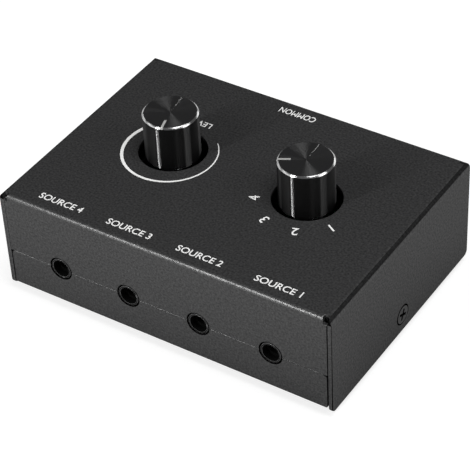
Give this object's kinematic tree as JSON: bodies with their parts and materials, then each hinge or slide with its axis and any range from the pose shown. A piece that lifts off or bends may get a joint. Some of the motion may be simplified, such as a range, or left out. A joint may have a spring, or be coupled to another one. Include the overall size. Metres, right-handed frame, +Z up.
{
  "type": "audio source selector",
  "caption": "Low black folded-steel box with round audio sockets in its front and rear walls, a turning level knob and a stepped selector knob on top, standing on rubber feet.",
  "frame": {"origin": "on the floor under the middle of the case, level with the flats of the feet", "axes": "+X to the right along the front, +Y to the rear, +Z up; the sockets' front faces -Y"},
  "size_m": [0.1, 0.071, 0.0452],
  "materials": {
    "case_coat": "fine-textured satin black powder coat on folded steel",
    "black_screw": "blackened steel",
    "foot_rubber": "matt black rubber",
    "board_laminate": "green solder mask on glass laminate",
    "plain_steel": "plated steel",
    "socket_moulding": "black moulded plastic, lightly polished nose",
    "contact_brass": "plated spring bronze",
    "black_moulding": "black moulded plastic",
    "pale_moulding": "natural moulded plastic",
    "carbon_track": "printed carbon film",
    "shaft_metal": "turned metal",
    "knob_metal": "black anodised, spun top, bright cut edge",
    "pointer_paint": "white paint in a milled line"
  },
  "bodies": {
    "case": {"top_cover": "case_coat", "bottom_tray": "case_coat", "case_screws": "black_screw", "rubber_feet": "foot_rubber", "circuit_board": "board_laminate", "board_standoffs": "plain_steel", "board_screws": "plain_steel", "pot_body": "black_moulding", "pot_plate": "plain_steel", "pot_track": "carbon_track", "pot_terminals": "contact_brass", "switch_body": "black_moulding", "switch_plate": "plain_steel", "switch_contacts": "contact_brass", "jack_1": "socket_moulding", "jack_1_contacts": "contact_brass", "jack_2": "socket_moulding", "jack_2_contacts": "contact_brass", "jack_3": "socket_moulding", "jack_3_contacts": "contact_brass", "jack_4": "socket_moulding", "jack_4_contacts": "contact_brass", "jack_common": "socket_moulding", "jack_common_contacts": "contact_brass"},
    "volume_control": {"pot_rotor": "pale_moulding", "pot_wiper": "contact_brass", "volume_shaft": "shaft_metal", "volume_clip": "plain_steel", "volume_insert": "black_moulding", "volume_knob": "knob_metal", "volume_pointer": "pointer_paint"},
    "selector_control": {"switch_rotor": "pale_moulding", "switch_bridge": "contact_brass", "detent_springs": "plain_steel", "detent_balls": "plain_steel", "selector_shaft": "shaft_metal", "selector_clip": "plain_steel", "selector_insert": "black_moulding", "selector_knob": "knob_metal", "selector_pointer": "pointer_paint"}
  },
  "joints": [
    {"name": "volume_turn", "type": "hinge", "parent": "case", "child": "volume_control", "pos_m": [-0.0207, 0.002, 0.03], "axis": [0, 0, 1], "range_deg": [-156, 124]},
    {"name": "selector_turn", "type": "hinge", "parent": "case", "child": "selector_control", "pos_m": [0.0207, 0.002, 0.03], "axis": [0, 0, 1], "range_deg": [0, 120]}
  ]
}
